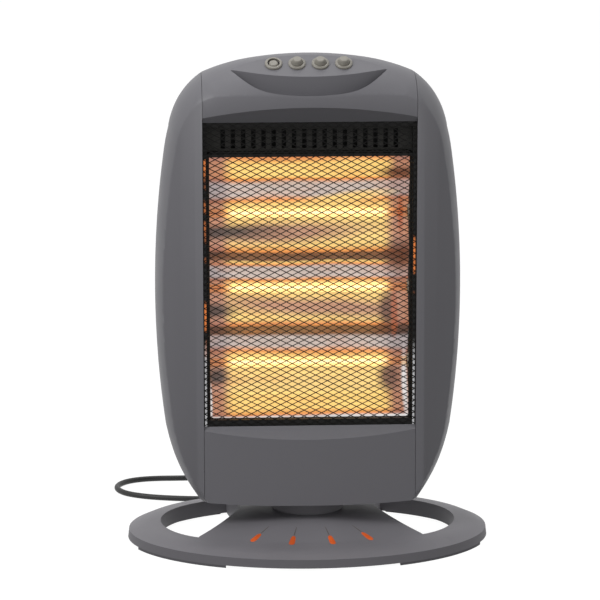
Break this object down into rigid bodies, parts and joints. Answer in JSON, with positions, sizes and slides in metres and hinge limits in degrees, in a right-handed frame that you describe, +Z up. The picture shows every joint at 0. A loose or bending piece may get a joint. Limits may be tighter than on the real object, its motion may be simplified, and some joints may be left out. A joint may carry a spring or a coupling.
{
  "type": "infrared heater",
  "caption": "Upright infrared heater with quartz lamps behind a mesh guard, on a head that swings over an oval ring base, with push buttons on top.",
  "frame": {"origin": "on the floor under the swivel axis, at the middle of the oval base", "axes": "+Z up along the swivel axis, -Y out of the lamps' front, +X to the right seen from the front"},
  "size_m": [0.3788, 0.3666, 0.4942],
  "materials": {
    "casing_grey": "satin grey moulded plastic with a fine pearl",
    "base_grey": "satin grey moulded plastic",
    "plate_black": "black moulded cover",
    "guard_black": "black heat-proof paint",
    "reflector_bright": "polished sheet",
    "quartz": "clear quartz",
    "filament_glow": "glowing tungsten coil",
    "ceramic_white": "unglazed steatite",
    "zinc_steel": "zinc-plated sheet",
    "button_grey": "warm grey moulded plastic",
    "switch_black": "black housing",
    "bush_white": "low-friction plastic",
    "motor_metal": "plated can",
    "foot_rubber": "black rubber",
    "cord_black": "black flexible sheath",
    "pin_brass": "nickelled brass"
  },
  "bodies": {
    "base": {"base_ring": "base_grey", "base_plate": "plate_black", "base_feet": "foot_rubber", "swivel_collar": "base_grey", "swivel_bush": "bush_white", "swing_motor": "motor_metal", "strain_relief": "cord_black", "cord_run": "cord_black", "cord_coil": "cord_black", "cord_tail": "cord_black", "mains_plug": "cord_black", "plug_pins": "pin_brass"},
    "head": {"side_shell_left": "casing_grey", "side_shell_right": "casing_grey", "top_panel": "casing_grey", "bottom_panel": "casing_grey", "rear_cover": "casing_grey", "guard_mesh": "guard_black", "guard_frame": "guard_black", "vent_panel": "guard_black", "reflector": "reflector_bright", "lamp_glass_1": "quartz", "lamp_glass_2": "quartz", "lamp_glass_3": "quartz", "filament_1": "filament_glow", "filament_2": "filament_glow", "filament_3": "filament_glow", "lamp_caps": "ceramic_white", "lamp_brackets": "zinc_steel", "heat_shield": "zinc_steel", "swivel_post": "zinc_steel", "drive_arm": "zinc_steel", "button_bezels": "button_grey", "switch_block": "switch_black", "tip_switch": "switch_black", "thermal_cutout": "switch_black"},
    "crank": {"swing_crank": "motor_metal"},
    "button_1": {"button_1": "button_grey"},
    "button_2": {"button_2": "button_grey"},
    "button_3": {"button_3": "button_grey"},
    "button_4": {"button_4": "button_grey"}
  },
  "joints": [
    {"name": "head_swing", "type": "hinge", "parent": "base", "child": "head", "pos_m": [0, 0, 0], "axis": [0, 0, 1], "range_deg": [-35, 35]},
    {"name": "crank_turn", "type": "hinge", "parent": "base", "child": "crank", "pos_m": [0, 0.03, 0], "axis": [0, 0, 1], "range_deg": [-91, 91]},
    {"name": "button_1_press", "type": "slide", "parent": "head", "child": "button_1", "axis": [0, -0.5592, 0.829], "range_m": [0, 0.005]},
    {"name": "button_2_press", "type": "slide", "parent": "head", "child": "button_2", "axis": [0, -0.5592, 0.829], "range_m": [-0.005, 0], "stiffness_N_per_m": 300},
    {"name": "button_3_press", "type": "slide", "parent": "head", "child": "button_3", "axis": [0, -0.5592, 0.829], "range_m": [-0.005, 0], "stiffness_N_per_m": 300},
    {"name": "button_4_press", "type": "slide", "parent": "head", "child": "button_4", "axis": [0, -0.5592, 0.829], "range_m": [-0.005, 0], "stiffness_N_per_m": 300}
  ],
  "couplings": [
    {"joint": "crank_turn", "follows": "head_swing", "ratio": 2.5714}
  ]
}
